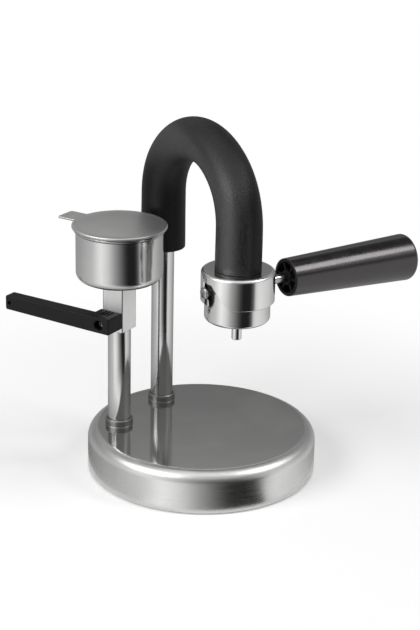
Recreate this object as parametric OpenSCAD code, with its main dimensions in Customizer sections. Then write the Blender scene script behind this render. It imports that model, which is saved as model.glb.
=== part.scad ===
// Stovetop espresso maker: a flat boiler, a bent riser tube that carries the brewing group,
// a bayonet filter holder with a side handle, and a filling tube with a quarter-turn cock.
// Millimetres. The origin is the centre of the boiler's underside, +Z is up, +X runs from the
// riser to the group, and +Y is the side of the filter holder's handle.

/* [Boiler] */
// Outside diameter of the boiler
boiler_d = 150; // [130:1:180]
// Height of the boiler's flat top above the stove
boiler_h = 28.3; // [24:0.1:40]
// Radius of the rounded top edge
boiler_edge_r = 5.5; // [3:0.5:8]
// Thickness of the drawn steel shell
boiler_wall = 1.2; // [0.8:0.1:2]
// Thickness of the heat-spreading floor
floor_t = 4; // [3:0.5:6]
// How far the floor stands out below the shell
floor_step = 0.8; // [0.4:0.1:1.5]

/* [Tubes] */
// Outside diameter of the riser and filling tubes
tube_d = 15; // [14:0.5:17]
// Wall of both tubes
tube_wall = 1; // [0.8:0.1:1.5]
// Distance of the riser from the boiler's axis
riser_r = 51.5; // [46:0.5:56]
// Distance from the riser to the group's axis
arm_reach = 89.8; // [80:0.1:96]
// Height where the riser's half circle starts
arm_spring_z = 175; // [165:0.1:190]
// Gap between the riser's lower end and the boiler floor
pickup_gap = 3; // [2:0.5:6]
// Distance of the filling tube from the boiler's axis
fill_r = 54.5; // [52:0.5:57]
// Direction of the filling tube from the boiler's axis
fill_angle = 236.8; // [230:0.2:245]
// Length of filling tube inside the boiler
fill_inset = 3; // [1:0.5:6]
// Diameter of the rings at the foot of the tubes
boss_d = 18; // [17.6:0.2:20]
// Height of those rings
boss_h = 4.8; // [3:0.2:7]
// Bevel of the rings' upper edge
boss_bevel = 0.8; // [0.4:0.1:1.2]

/* [Sleeve] */
// Outside diameter of the foam sleeve
sleeve_d = 29.2; // [24:0.2:32]
// Height of the sleeve's lower end on the riser
sleeve_end_z = 137.6; // [125:0.2:150]

/* [Group] */
// Height of the group's flat top
group_z = 148.6; // [144:0.2:154]
// Outside diameter of the group head
group_d = 46.4; // [45.4:0.2:50]
// Height of the group head
group_h = 20.2; // [18.6:0.2:24]
// Thickness of the group head's top
group_top_t = 4.2; // [3.6:0.2:5]
// Radius of the group head's upper edge
group_edge_r = 2.2; // [1:0.2:2.4]
// Diameter of the water chamber above the shower screen
chamber_d = 32; // [26:0.5:34]
// Depth of the water chamber
chamber_h = 1.4; // [0.8:0.2:2]
// Thickness of the shower screen
screen_t = 0.8; // [0.5:0.1:1]
// Thickness of the group gasket
gasket_t = 3; // [2.4:0.2:3.4]
// Inside diameter of the group gasket
gasket_id = 34; // [30:0.5:35]
// Holes in each row from the middle of the screen and the basket outwards
sieve_rows = 2; // [1:1:3]
// Diameter of each of those holes
sieve_hole_d = 1.8; // [1:0.1:2.4]
// Distance between the rows of holes
sieve_step = 4.8; // [4:0.2:5]

/* [Filter holder] */
// Outside diameter of the filter holder
holder_d = 41.4; // [40.8:0.2:41.6]
// Height of the filter holder
holder_h = 24.9; // [22:0.1:30]
// Wall of the filter holder
holder_wall = 2.4; // [2:0.1:2.6]
// Thickness of its bottom
holder_floor_t = 3; // [2:0.2:5]
// Radius of its lower edge
holder_edge_r = 2.6; // [1:0.2:3]
// Wall of the filter basket
basket_wall = 0.8; // [0.6:0.1:1]
// Height of the filter basket with its rim
basket_h = 19; // [14:0.5:20]
// Width of the basket's rim
basket_rim = 1.5; // [1:0.1:1.6]
// Outside diameter of the spout
spout_d = 6.4; // [5.6:0.2:8]
// Inside diameter of the spout
spout_id = 4; // [3:0.2:4.6]
// Length of spout below the holder
spout_len = 13.4; // [8:0.2:18]

/* [Bayonet] */
// Depth of the pins' axis below the group's top
pin_drop = 11.6; // [11.2:0.1:12.4]
// Diameter of the pins in the bayonet windows
pin_d = 4.6; // [4:0.1:4.8]
// Diameter of the pin's head and of the stud's collar
pin_head_d = 7.4; // [6.4:0.1:7.8]
// Thickness of the pin's head and of the stud's collar
pin_head_t = 2.2; // [1.6:0.1:3]
// Drop of the holder in a full turn
bayonet_lead = 100; // [90:1:106]
// Height of the window's roof above the pin's axis
roof_rise = 6; // [5.4:0.1:6.6]
// Width of the window's flat roof past the pin's axis
roof_flat = 4.2; // [3:0.1:6]
// Width of the window's mouth past the pin's axis
mouth_w = 17; // [16.4:0.1:20]
// Reach of the hook under the pin
hook_reach = 2.4; // [1:0.1:2.8]
// Bevel of the hook's tip
hook_bevel = 1; // [0.8:0.1:1.4]
// Room behind the locked pin
pin_room = 0.6; // [0.3:0.1:1]
// Bevel of the pin head's edge
pin_bevel = 0.66; // [0.3:0.02:0.9]

/* [Handle] */
// Distance of the handle's near end from the group's axis
handle_start = 36.2; // [32:0.2:44]
// Length of the handle
handle_len = 96; // [80:1:120]
// Diameter of the handle's near end
handle_d1 = 24.3; // [22:0.1:28]
// Diameter of the handle's far end
handle_d2 = 31; // [28:0.1:36]
// Radius of the far end's edge
handle_edge_r = 2.4; // [1:0.2:4]
// Depth of the hollow in the near end
hollow_depth = 11; // [6:0.5:16]
// Wall around that hollow
hollow_wall = 2.2; // [1.6:0.1:3]
// Diameter of the hub in the hollow
hollow_hub_d = 9.4; // [8.4:0.2:11]
// Number of ribs in the hollow
hollow_ribs = 6; // [4:1:8]
// Thickness of each rib
hollow_rib_t = 1.6; // [1:0.1:2.2]
// Bevel of the near end's edge
handle_bevel = 0.8; // [0.4:0.1:1.2]
// Depth of the ribs below the near end
rib_inset = 1.2; // [0.6:0.1:2]
// Angle by which the handle droops below level
handle_droop = 1.1; // [0:0.1:4]
// Diameter of the handle stud
stud_d = 5.8; // [5:0.1:6.4]
// Length of stud in the handle
stud_grip = 26; // [18:1:40]

/* [Cock] */
// Turn of the cock about the filling tube
cock_angle = 25; // [15:1:35]
// Height of the valve body's lower end
valve_z = 95.5; // [92:0.1:110]
// Width of the square valve body
valve_w = 15.4; // [15.2:0.1:18]
// Height of the valve body
valve_h = 33; // [28:0.1:40]
// Height of the lever's pivot above the valve body's lower end
pivot_rise = 8.7; // [8:0.1:12]
// Diameter of the ball
ball_d = 10.6; // [9.6:0.1:11]
// Diameter of the passage through the ball, its seats and the cup nipple
passage_d = 5; // [4:0.1:5.6]
// Height of each ball seat
seat_h = 3; // [2.4:0.1:3.4]
// Gap between the ball and its seats
seat_gap = 0.15; // [0.1:0.05:0.2]
// Thickness of each seat beyond the ball
seat_back = 0.6; // [0.4:0.1:1]
// Room round the ball in the valve body
ball_room = 0.4; // [0.3:0.1:0.6]
// Depth of the valve body's spigot in the filling tube
spigot_len = 8; // [5:0.5:12]
// Diameter of the stem
stem_d = 5; // [4.6:0.1:5.4]
// Side of the stem's square end
stem_square = 3.4; // [3:0.1:3.6]
// Thickness of the stem's tongue in the ball
tongue_t = 2; // [1.4:0.1:2.4]
// Depth of the tongue in the ball
tongue_depth = 1.8; // [1.2:0.1:2]
// Diameter of the packing round the stem
packing_d = 8.4; // [7.6:0.1:9]
// Depth of the packing
packing_t = 1.3; // [1:0.1:1.4]

/* [Lever] */
// Length of the lever from its pivot to its tip
lever_len = 75.2; // [60:0.2:75.4]
// Length of the lever past its pivot
lever_tail = 8; // [7:0.2:10]
// Height of the lever at its hub
lever_h = 10.6; // [9:0.2:12]
// Height of the lever at its tip
lever_tip_h = 9.6; // [7:0.2:10]
// Depth of the hub from the valve outwards
hub_depth = 15.6; // [14:0.2:18]
// Thickness of the lever's arm
arm_t = 9; // [6:0.2:10]
// Bevel of the lever's tip
tip_bevel = 1.6; // [0.8:0.1:2.4]
// Bevel of the hub's end corners
hub_bevel = 0.8; // [0.4:0.1:1.2]
// Number of grooves on the hub
hub_grooves = 3; // [1:1:4]
// Width of each groove
groove_w = 1.2; // [0.8:0.1:1.6]
// Depth of each groove
groove_depth = 1; // [0.6:0.1:1.4]
// Length of the grooves from the valve outwards
groove_len = 9.4; // [6:0.2:12]
// Diameter of the hole near the lever's tip
tip_hole_d = 2.6; // [2:0.1:4]
// Distance of that hole from the tip
tip_hole_inset = 3.4; // [3:0.1:6]
// Diameter of the screw's counterbore
counterbore_d = 6; // [5.6:0.1:6.6]
// Depth of the counterbore
counterbore_depth = 5; // [3:0.2:6]
// Diameter of the screw's head
screw_head_d = 5.2; // [4.4:0.1:5.4]
// Height of the screw's head
screw_head_h = 2; // [1.4:0.1:2.4]
// Diameter of the screw's thread
screw_d = 2; // [1.6:0.1:2.2]
// Length of the screw's thread
screw_len = 7; // [5:0.5:9]
// Width of the cross in the screw's head
cross_w = 0.8; // [0.6:0.1:1]

/* [Filling cup] */
// Outside diameter of the filling cup
cup_d = 56; // [50:0.5:60]
// Height of the filling cup
cup_h = 34.5; // [28:0.5:42]
// Wall of the filling cup
cup_wall = 1; // [0.8:0.1:1.4]
// Outer radius of the cup's lower edge
cup_edge_r = 5.5; // [4:0.5:8]
// Width of the rolled lip outside the cup's wall
cup_lip_w = 1.3; // [0.8:0.1:1.6]
// Height of the rolled lip
cup_lip_h = 1.8; // [1.2:0.1:2.4]
// Thickness of the washer under the cup
washer_t = 0.8; // [0.5:0.1:1.2]
// Diameter of the washer
washer_d = 14.8; // [13.6:0.1:15]
// Width across the flats of the cup nipple's head
nipple_flats = 17; // [15:0.5:19]
// Height of the cup nipple's head
nipple_head_h = 3; // [2:0.2:5]

/* [Lid] */
// Diameter of the lid
lid_d = 61; // [60.4:0.2:66]
// Height of the lid's rolled rim above the cup's lip
lid_rim_h = 2; // [1.8:0.1:3]
// Width of the rolled rim
lid_rim_w = 2; // [1.6:0.1:2.4]
// Thickness of the lid's sheet
lid_t = 0.9; // [0.7:0.1:1.2]
// Bevel of the rolled rim's edges
bead_bevel = 0.4; // [0.2:0.1:0.6]
// Rise of the lid's middle
lid_rise = 2; // [0.8:0.1:3]
// Depth of the ring that centres the lid
lid_ring_h = 3; // [2:0.2:6]
// Clearance of that ring in the cup
lid_ring_gap = 0.5; // [0.3:0.1:0.8]
// Width of the lid's tab
tab_w = 15; // [10:0.5:20]
// Length of the tab past the rim
tab_len = 13; // [8:0.5:18]
// Thickness of the tab
tab_t = 1.2; // [0.8:0.1:1.6]
// Radius of the tab's corners
tab_corner_r = 1.6; // [0.8:0.2:3]

/* [Relief valve] */
// Height of the relief valve on the boiler's back
relief_z = 14; // [12:0.5:16]
// Width across the flats of its body
relief_flats = 11; // [10:0.5:12]
// Thickness of its hexagon
relief_head_t = 4; // [3:0.2:6]
// Diameter of its shank
relief_d = 8; // [7:0.2:8.6]
// Length of its shank from the hexagon inwards
relief_len = 9; // [8:0.2:12]
// Thickness of its lock nut
relief_nut_t = 3; // [2.4:0.2:4]
// Diameter of its pin
relief_pin_d = 2.6; // [2:0.1:3]
// Travel of its pin
relief_travel = 1.5; // [1:0.1:2]
// Length of pin outside the body
relief_pin_out = 1.6; // [1:0.1:2]

/* [Fits] */
// Radial gap between pieces that are joined for good
joint_gap = 0.05; // [0.03:0.01:0.08]
// Radial gap of a turning shaft
shaft_gap = 0.05; // [0.03:0.01:0.08]
// Gap between faces that move past each other
run_gap = 0.3; // [0.25:0.05:0.4]

/* [Hidden] */
$fn = 96;
eps = 0.5;
steel = [0.78, 0.78, 0.77];
polished = [0.86, 0.86, 0.86];
black = [0.09, 0.09, 0.09];
foam = [0.16, 0.16, 0.16];
silicone = [0.30, 0.30, 0.31];
ptfe = [0.93, 0.93, 0.90];
brass = [0.80, 0.66, 0.36];

boiler_r = boiler_d / 2;
tube_id = tube_d - 2 * tube_wall;
riser_x = -riser_r;
group_x = riser_x + arm_reach;
bend_r = arm_reach / 2;
bend_x = riser_x + bend_r;

group_r = group_d / 2;
group_bore_d = holder_d + 2 * run_gap;
group_ceiling_z = group_z - group_top_t;
screen_z = group_ceiling_z - screen_t;
rim_z = screen_z - gasket_t;
holder_z = rim_z - holder_h;
holder_bore_d = holder_d - 2 * holder_wall;
basket_d = holder_bore_d - 2 * run_gap;
basket_rim_d = basket_d + 2 * basket_rim;
basket_rim_t = 1.25 * basket_wall;
basket_z = rim_z - basket_h;

pin_z = group_z - pin_drop;
pin_start = holder_bore_d / 2 + joint_gap;
pin_head_start = group_r + 1.5 * run_gap;
collar_end = pin_head_start + pin_head_t;
lip_slope = bayonet_lead / (PI * group_d);
lip_drop = pin_d / 2 * sqrt(1 + lip_slope * lip_slope) + run_gap;
hook_z = pin_z - lip_drop - lip_slope * hook_reach;

pivot_z = valve_z + pivot_rise;
valve_top_z = valve_z + valve_h;
valve_bore_d = ball_d + 2 * ball_room;
seat_low_z = pivot_z - ball_d / 2 - seat_back;
seat_top_z = pivot_z + ball_d / 2 + seat_back;
hub_back = valve_w / 2 + run_gap;
hub_front = hub_back + hub_depth;
tongue_end = ball_d / 2 - tongue_depth;
stem_end = hub_front - counterbore_depth;

washer_top_z = valve_top_z + washer_t;
cup_z = washer_top_z;
cup_rim_z = cup_z + cup_h;
nipple_d = valve_bore_d - 2 * joint_gap;
nipple_seat_z = cup_z + cup_wall;
lid_r = lid_d / 2;
lid_ring_r = cup_d / 2 - cup_wall - lid_ring_gap;

// Frames: the filling tube's axis, the cock's own directions, the group's axis, and a radius
// of the group along +Y at the height of the bayonet pins.

module at_fill() {
    translate([fill_r * cos(fill_angle), fill_r * sin(fill_angle), 0])
        children();
}

module at_cock() {
    at_fill()
        rotate([0, 0, cock_angle])
            children();
}

module at_pivot() {
    at_cock()
        translate([0, 0, pivot_z])
            rotate([90, 0, 0])
                children();
}

module at_group() {
    translate([group_x, 0, 0])
        children();
}

module at_handle() {
    at_group()
        translate([0, 0, pin_z])
            rotate([-90, 0, 0])
                children();
}

// The same radius past the stud's collar, where it droops.
module at_grip() {
    at_handle()
        translate([0, 0, collar_end])
            rotate([-handle_droop, 0, 0])
                translate([0, 0, -collar_end])
                    children();
}

module at_relief() {
    translate([-boiler_r, 0, relief_z])
        rotate([0, -90, 0])
            children();
}

// A plain ring that stands on z.
module ring(od, id, h, z = 0) {
    translate([0, 0, z])
        difference() {
            cylinder(d = od, h = h);
            translate([0, 0, -eps])
                cylinder(d = id, h = h + 2 * eps);
        }
}

// Half section of a drum that is round at its upper edge.
module drum_section(r, h, edge) {
    square([r - edge, h]);
    square([r, h - edge]);
    translate([r - edge, h - edge])
        circle(edge);
}

module drum(r, h, edge) {
    rotate_extrude()
        intersection() {
            drum_section(r, h, edge);
            square([r + eps, h + eps]);
        }
}

// The riser's path as a solid rod: up the column, over the bend and down to the group.
module arm_rod(d, foot_z, end_z) {
    translate([riser_x, 0, foot_z])
        cylinder(d = d, h = arm_spring_z - foot_z);
    translate([bend_x, 0, arm_spring_z])
        rotate([90, 0, 0])
            rotate_extrude(angle = 180)
                translate([bend_r, 0])
                    circle(d = d);
    translate([group_x, 0, end_z])
        cylinder(d = d, h = arm_spring_z - end_z);
}

// One hole in the middle and rings of six, twelve and so on around it.
module sieve_holes(z, t) {
    translate([0, 0, z - eps])
        cylinder(d = sieve_hole_d, h = t + 2 * eps);
    for (row = [1 : sieve_rows], i = [0 : 6 * row - 1])
        rotate([0, 0, 60 * i / row])
            translate([sieve_step * row, 0, z - eps])
                cylinder(d = sieve_hole_d, h = t + 2 * eps);
}

// Ring of steel at the foot of a tube, with a bevelled upper edge.
module tube_boss() {
    translate([0, 0, boiler_h])
        difference() {
            union() {
                cylinder(d = boss_d, h = boss_h - boss_bevel);
                translate([0, 0, boss_h - boss_bevel])
                    cylinder(d1 = boss_d, d2 = boss_d - 2 * boss_bevel, h = boss_bevel);
            }
            translate([0, 0, -eps])
                cylinder(d = tube_d + 2 * joint_gap, h = boss_h + 2 * eps);
        }
}

module boiler_shell() {
    color(polished)
        difference() {
            translate([0, 0, floor_step])
                drum(boiler_r, boiler_h - floor_step, boiler_edge_r);
            translate([0, 0, floor_step - eps])
                drum(boiler_r - boiler_wall, boiler_h - boiler_wall - floor_step + eps,
                    boiler_edge_r - boiler_wall);
            at_fill()
                cylinder(d = tube_d + 2 * joint_gap, h = boiler_h + eps);
            translate([riser_x, 0, 0])
                cylinder(d = tube_d + 2 * joint_gap, h = boiler_h + eps);
            at_relief()
                translate([0, 0, -2 * boiler_wall])
                    cylinder(d = relief_d + 2 * joint_gap, h = 4 * boiler_wall);
        }
}

module boiler_floor() {
    color(steel)
        cylinder(r = boiler_r - boiler_wall - joint_gap, h = floor_t);
}

module fill_boss() {
    color(steel)
        at_fill()
            tube_boss();
}

module column_boss() {
    color(steel)
        translate([riser_x, 0, 0])
            tube_boss();
}

module fill_tube() {
    color(steel)
        at_fill()
            ring(tube_d, tube_id, valve_z - boiler_h + boiler_wall + fill_inset,
                boiler_h - boiler_wall - fill_inset);
}

module riser_tube() {
    foot_z = floor_t + pickup_gap;
    end_z = group_z - group_top_t + chamber_h;
    color(steel)
        difference() {
            arm_rod(tube_d, foot_z, end_z);
            arm_rod(tube_id, foot_z - eps, end_z - eps);
        }
}

module arm_sleeve() {
    color(foam)
        difference() {
            arm_rod(sleeve_d, sleeve_end_z, group_z);
            arm_rod(tube_d + 2 * joint_gap, sleeve_end_z - eps, group_z - eps);
        }
}

// Outline of a bayonet window across the pin's axis: a seat for the pin over a hooked lip, and a
// wide mouth under a slanted roof that leads the pin up to the seat.
module bayonet_window() {
    back = -pin_d / 2 - run_gap - pin_room;
    floor_z = group_z - group_h - eps;
    polygon([
        [back, pin_z + roof_rise],
        [roof_flat, pin_z + roof_rise],
        [mouth_w, floor_z + eps],
        [mouth_w, floor_z],
        [hook_reach, floor_z],
        [hook_reach, hook_z - hook_bevel],
        [hook_reach - hook_bevel, hook_z + lip_slope * hook_bevel],
        [back, pin_z - lip_drop - lip_slope * back]
    ]);
}

module group_head() {
    color(steel)
        at_group()
            difference() {
                translate([0, 0, group_z - group_h])
                    drum(group_r, group_h, group_edge_r);
                translate([0, 0, group_z - group_h - eps])
                    cylinder(d = group_bore_d, h = group_h - group_top_t + eps);
                translate([0, 0, group_ceiling_z - eps])
                    cylinder(d = chamber_d, h = chamber_h + eps);
                translate([0, 0, group_ceiling_z])
                    cylinder(d = tube_d + 2 * joint_gap, h = group_top_t + eps);
                for (side = [0, 180])
                    rotate([0, 0, side])
                        translate([0, -group_r / 4, 0])
                            rotate([90, 0, 0])
                                linear_extrude(group_r)
                                    bayonet_window();
            }
}

module group_gasket() {
    color(silicone)
        at_group()
            ring(group_bore_d - 2 * joint_gap, gasket_id, gasket_t, rim_z);
}

module shower_screen() {
    color(polished)
        at_group()
            difference() {
                translate([0, 0, screen_z])
                    cylinder(d = group_bore_d - 2 * joint_gap, h = screen_t);
                sieve_holes(screen_z, screen_t);
            }
}

module holder_body() {
    color(steel)
        difference() {
            at_group()
                difference() {
                    translate([0, 0, rim_z])
                        mirror([0, 0, 1])
                            drum(holder_d / 2, holder_h, holder_edge_r);
                    translate([0, 0, holder_z + holder_floor_t])
                        cylinder(d = holder_bore_d, h = holder_h);
                    translate([0, 0, rim_z - basket_rim_t])
                        cylinder(d = basket_rim_d + 2 * run_gap, h = basket_rim_t + eps);
                    translate([0, 0, holder_z - eps])
                        cylinder(d = spout_d + 2 * joint_gap, h = holder_floor_t + 2 * eps);
                }
            at_handle()
                translate([0, 0, -holder_d])
                    cylinder(d = pin_d + 2 * joint_gap, h = 2 * holder_d);
        }
}

module filter_basket() {
    color(polished)
        at_group()
            difference() {
                union() {
                    translate([0, 0, basket_z])
                        cylinder(d = basket_d, h = basket_h);
                    translate([0, 0, rim_z - basket_rim_t])
                        cylinder(d = basket_rim_d, h = basket_rim_t);
                }
                translate([0, 0, basket_z + basket_wall])
                    cylinder(d = basket_d - 2 * basket_wall, h = basket_h);
                sieve_holes(basket_z, basket_wall);
            }
}

module spout() {
    color(polished)
        at_group()
            ring(spout_d, spout_id, spout_len + holder_floor_t, holder_z - spout_len);
}

// A pin in the holder's wall with a larger round end outside the group head.
module bayonet_pin() {
    translate([0, 0, pin_start])
        cylinder(d = pin_d, h = pin_head_start - pin_start);
    translate([0, 0, pin_head_start])
        cylinder(d = pin_head_d, h = pin_head_t - pin_bevel);
    translate([0, 0, pin_head_start + pin_head_t - pin_bevel])
        cylinder(d1 = pin_head_d, d2 = pin_head_d - 2 * pin_bevel, h = pin_bevel);
}

module lock_pin() {
    color(polished)
        at_handle()
            mirror([0, 0, 1])
                bayonet_pin();
}

module handle_stud() {
    color(polished) {
        at_handle()
            bayonet_pin();
        at_grip()
            translate([0, 0, collar_end - pin_bevel])
                cylinder(d = stud_d, h = handle_start + stud_grip - collar_end + pin_bevel);
    }
}

module handle_grip() {
    near_r = handle_d1 / 2;
    far_r = handle_d2 / 2;
    hollow_r = near_r - hollow_wall;
    color(black)
        at_grip()
            translate([0, 0, handle_start])
                difference() {
                    rotate_extrude()
                        intersection() {
                            union() {
                                polygon([
                                    [0, 0],
                                    [near_r - handle_bevel, 0],
                                    [near_r, handle_bevel],
                                    [far_r, handle_len - handle_edge_r],
                                    [far_r - handle_edge_r, handle_len - handle_edge_r],
                                    [far_r - handle_edge_r, handle_len],
                                    [0, handle_len]
                                ]);
                                translate([far_r - handle_edge_r, handle_len - handle_edge_r])
                                    circle(handle_edge_r);
                            }
                            square([far_r + eps, handle_len + eps]);
                        }
                    difference() {
                        translate([0, 0, -eps])
                            cylinder(r = hollow_r, h = hollow_depth + eps);
                        translate([0, 0, -2 * eps])
                            cylinder(d = hollow_hub_d, h = hollow_depth + 4 * eps);
                        for (i = [0 : hollow_ribs - 1])
                            rotate([0, 0, 360 * i / hollow_ribs])
                                translate([0, -hollow_rib_t / 2, rib_inset])
                                    cube([near_r, hollow_rib_t, hollow_depth + eps]);
                    }
                    translate([0, 0, -eps])
                        cylinder(d = stud_d + 2 * joint_gap, h = stud_grip + eps);
                }
}

module valve_body() {
    color(steel)
        difference() {
            union() {
                at_cock()
                    translate([-valve_w / 2, -valve_w / 2, valve_z])
                        cube([valve_w, valve_w, valve_h]);
                at_fill()
                    translate([0, 0, valve_z - spigot_len])
                        cylinder(d = tube_id - 2 * joint_gap, h = spigot_len + eps);
            }
            at_fill() {
                translate([0, 0, seat_low_z])
                    cylinder(d = valve_bore_d, h = valve_h);
                translate([0, 0, valve_z - spigot_len - eps])
                    cylinder(d = passage_d, h = valve_h);
            }
            at_pivot() {
                translate([0, 0, ball_d / 4])
                    cylinder(d = stem_d + 2 * shaft_gap, h = valve_w);
                translate([0, 0, valve_w / 2 - packing_t])
                    cylinder(d = packing_d, h = packing_t + eps);
            }
        }
}

// A seat below the ball, cupped to fit it; the upper one is its mirror image.
module ball_seat() {
    difference() {
        translate([0, 0, -ball_d / 2 - seat_back])
            cylinder(d = valve_bore_d - 2 * joint_gap, h = seat_h);
        translate([0, 0, -ball_d])
            cylinder(d = passage_d + 4 * seat_gap, h = ball_d);
        sphere(d = ball_d + 2 * seat_gap);
    }
}

module lower_seat() {
    color(ptfe)
        at_fill()
            translate([0, 0, pivot_z])
                ball_seat();
}

module upper_seat() {
    color(ptfe)
        at_fill()
            translate([0, 0, pivot_z])
                mirror([0, 0, 1])
                    ball_seat();
}

// The ball's passage lies level while the cock is shut.
module valve_ball() {
    color(polished)
        at_pivot()
            difference() {
                sphere(d = ball_d);
                rotate([0, 90, 0])
                    cylinder(d = passage_d, h = 2 * ball_d, center = true);
                translate([-tongue_t / 2 - joint_gap, -ball_d, tongue_end])
                    cube([tongue_t + 2 * joint_gap, 2 * ball_d, ball_d]);
            }
}

module valve_stem() {
    color(polished)
        at_pivot()
            difference() {
                union() {
                    intersection() {
                        translate([-tongue_t / 2, -stem_d / 2, tongue_end + joint_gap])
                            cube([tongue_t, stem_d, ball_d]);
                        cylinder(d = stem_d, h = ball_d / 2 + run_gap + eps);
                    }
                    translate([0, 0, ball_d / 2 + run_gap])
                        cylinder(d = stem_d, h = hub_back - ball_d / 2 - run_gap);
                    translate([-stem_square / 2, -stem_square / 2, hub_back - eps])
                        cube([stem_square, stem_square, stem_end - hub_back + eps]);
                }
                translate([0, 0, stem_end - screw_len])
                    cylinder(d = screw_d + 2 * joint_gap, h = screw_len + eps);
            }
}

module stem_packing() {
    color(ptfe)
        at_pivot()
            ring(packing_d - 2 * joint_gap, stem_d + 2 * shaft_gap, packing_t,
                valve_w / 2 - packing_t);
}

// Side outline of the lever, from its tail to its bevelled tip.
module lever_outline() {
    polygon([
        [lever_tail, -lever_h / 2 + hub_bevel],
        [lever_tail, lever_h / 2 - hub_bevel],
        [lever_tail - hub_bevel, lever_h / 2],
        [-lever_tail, lever_h / 2],
        [-lever_len + tip_bevel, lever_tip_h / 2],
        [-lever_len, lever_tip_h / 2 - tip_bevel],
        [-lever_len, -lever_tip_h / 2 + tip_bevel],
        [-lever_len + tip_bevel, -lever_tip_h / 2],
        [-lever_tail, -lever_h / 2],
        [lever_tail - hub_bevel, -lever_h / 2]
    ]);
}

module valve_lever() {
    groove_pitch = 2 * groove_w;
    color(black)
        at_pivot()
            difference() {
                union() {
                    translate([0, 0, hub_front - arm_t])
                        linear_extrude(arm_t)
                            lever_outline();
                    translate([0, 0, hub_back])
                        linear_extrude(hub_depth)
                            intersection() {
                                lever_outline();
                                square([2 * lever_tail, 2 * lever_h], center = true);
                            }
                }
                for (i = [0 : hub_grooves - 1])
                    translate([(i - (hub_grooves - 1) / 2) * groove_pitch - groove_w / 2,
                            lever_h / 2 - groove_depth, hub_back - eps])
                        cube([groove_w, groove_depth + eps, groove_len + eps]);
                translate([-stem_square / 2 - joint_gap, -stem_square / 2 - joint_gap, hub_back - eps])
                    cube([stem_square + 2 * joint_gap, stem_square + 2 * joint_gap, hub_depth]);
                translate([0, 0, stem_end])
                    cylinder(d = counterbore_d, h = counterbore_depth + eps);
                translate([-lever_len + tip_hole_inset, 0, hub_front - arm_t - eps])
                    cylinder(d = tip_hole_d, h = arm_t + 2 * eps);
            }
}

module lever_screw() {
    color(polished)
        at_pivot() {
            translate([0, 0, stem_end - screw_len + eps])
                cylinder(d = screw_d, h = screw_len - eps);
            difference() {
                translate([0, 0, stem_end])
                    cylinder(d = screw_head_d, h = screw_head_h);
                for (turn = [0, 90])
                    rotate([0, 0, turn])
                        translate([-screw_head_d / 3, -cross_w / 2, stem_end + screw_head_h / 2])
                            cube([screw_head_d / 1.5, cross_w, screw_head_h]);
            }
        }
}

module cup_nipple() {
    color(steel)
        at_cock()
            difference() {
                union() {
                    translate([0, 0, seat_top_z])
                        cylinder(d = nipple_d, h = nipple_seat_z - seat_top_z + eps);
                    translate([0, 0, nipple_seat_z])
                        cylinder(d = nipple_flats / cos(30), h = nipple_head_h, $fn = 6);
                }
                translate([0, 0, seat_top_z - eps])
                    cylinder(d = passage_d, h = valve_h + cup_h);
            }
}

module cup_washer() {
    color(ptfe)
        at_fill()
            ring(washer_d, nipple_d + 2 * joint_gap, washer_t, valve_top_z);
}

// A drawn cup with a rolled lip outside its upper edge.
module filling_cup() {
    color(steel)
        at_fill()
            difference() {
                union() {
                    translate([0, 0, cup_rim_z])
                        mirror([0, 0, 1])
                            drum(cup_d / 2, cup_h, cup_edge_r);
                    rotate_extrude()
                        polygon([
                            [cup_d / 2 - cup_wall / 2, cup_rim_z - cup_lip_h],
                            [cup_d / 2 + cup_lip_w - bead_bevel, cup_rim_z - cup_lip_h],
                            [cup_d / 2 + cup_lip_w, cup_rim_z - cup_lip_h + bead_bevel],
                            [cup_d / 2 + cup_lip_w, cup_rim_z - bead_bevel],
                            [cup_d / 2 + cup_lip_w - bead_bevel, cup_rim_z],
                            [cup_d / 2 - cup_wall / 2, cup_rim_z]
                        ]);
                }
                translate([0, 0, cup_rim_z + eps])
                    mirror([0, 0, 1])
                        drum(cup_d / 2 - cup_wall, cup_h - cup_wall + eps, cup_edge_r - cup_wall);
                translate([0, 0, cup_z - eps])
                    cylinder(d = nipple_d + 2 * joint_gap, h = cup_wall + 2 * eps);
            }
}

// Plan of the tab, from its rounded corners to the middle of the rim.
module tab_outline() {
    translate([-lid_r - tab_len + tab_corner_r, -tab_w / 2])
        square([tab_len + lid_rim_w / 2 - tab_corner_r, tab_w]);
    translate([-lid_r - tab_len, -tab_w / 2 + tab_corner_r])
        square([2 * tab_corner_r, tab_w - 2 * tab_corner_r]);
    for (side = [-1, 1])
        translate([-lid_r - tab_len + tab_corner_r, side * (tab_w / 2 - tab_corner_r)])
            circle(r = tab_corner_r);
}

// A shallow domed sheet with a rolled rim that stands on the cup's lip, a ring that drops into
// the cup, and a flat tab over the lever.
module cup_lid() {
    dome_r = (lid_ring_r * lid_ring_r + lid_rise * lid_rise) / (2 * lid_rise);
    color(steel)
        at_cock()
            translate([0, 0, cup_rim_z]) {
                intersection() {
                    translate([0, 0, lid_rim_h + lid_rise - dome_r])
                        difference() {
                            sphere(r = dome_r);
                            sphere(r = dome_r - lid_t);
                        }
                    cylinder(r = lid_ring_r, h = lid_rim_h + lid_rise + eps);
                }
                ring(2 * lid_ring_r, 2 * lid_ring_r - 2 * lid_t, lid_ring_h + lid_rim_h, -lid_ring_h);
                rotate_extrude()
                    polygon([
                        [lid_ring_r - lid_t / 2, lid_rim_h - lid_t],
                        [lid_r - lid_rim_w, lid_rim_h - lid_t],
                        [lid_r - lid_rim_w, 0],
                        [lid_r - bead_bevel, 0],
                        [lid_r, bead_bevel],
                        [lid_r, lid_rim_h - bead_bevel],
                        [lid_r - bead_bevel, lid_rim_h],
                        [lid_ring_r - lid_t / 2, lid_rim_h]
                    ]);
                linear_extrude(tab_t)
                    tab_outline();
            }
}

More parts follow.
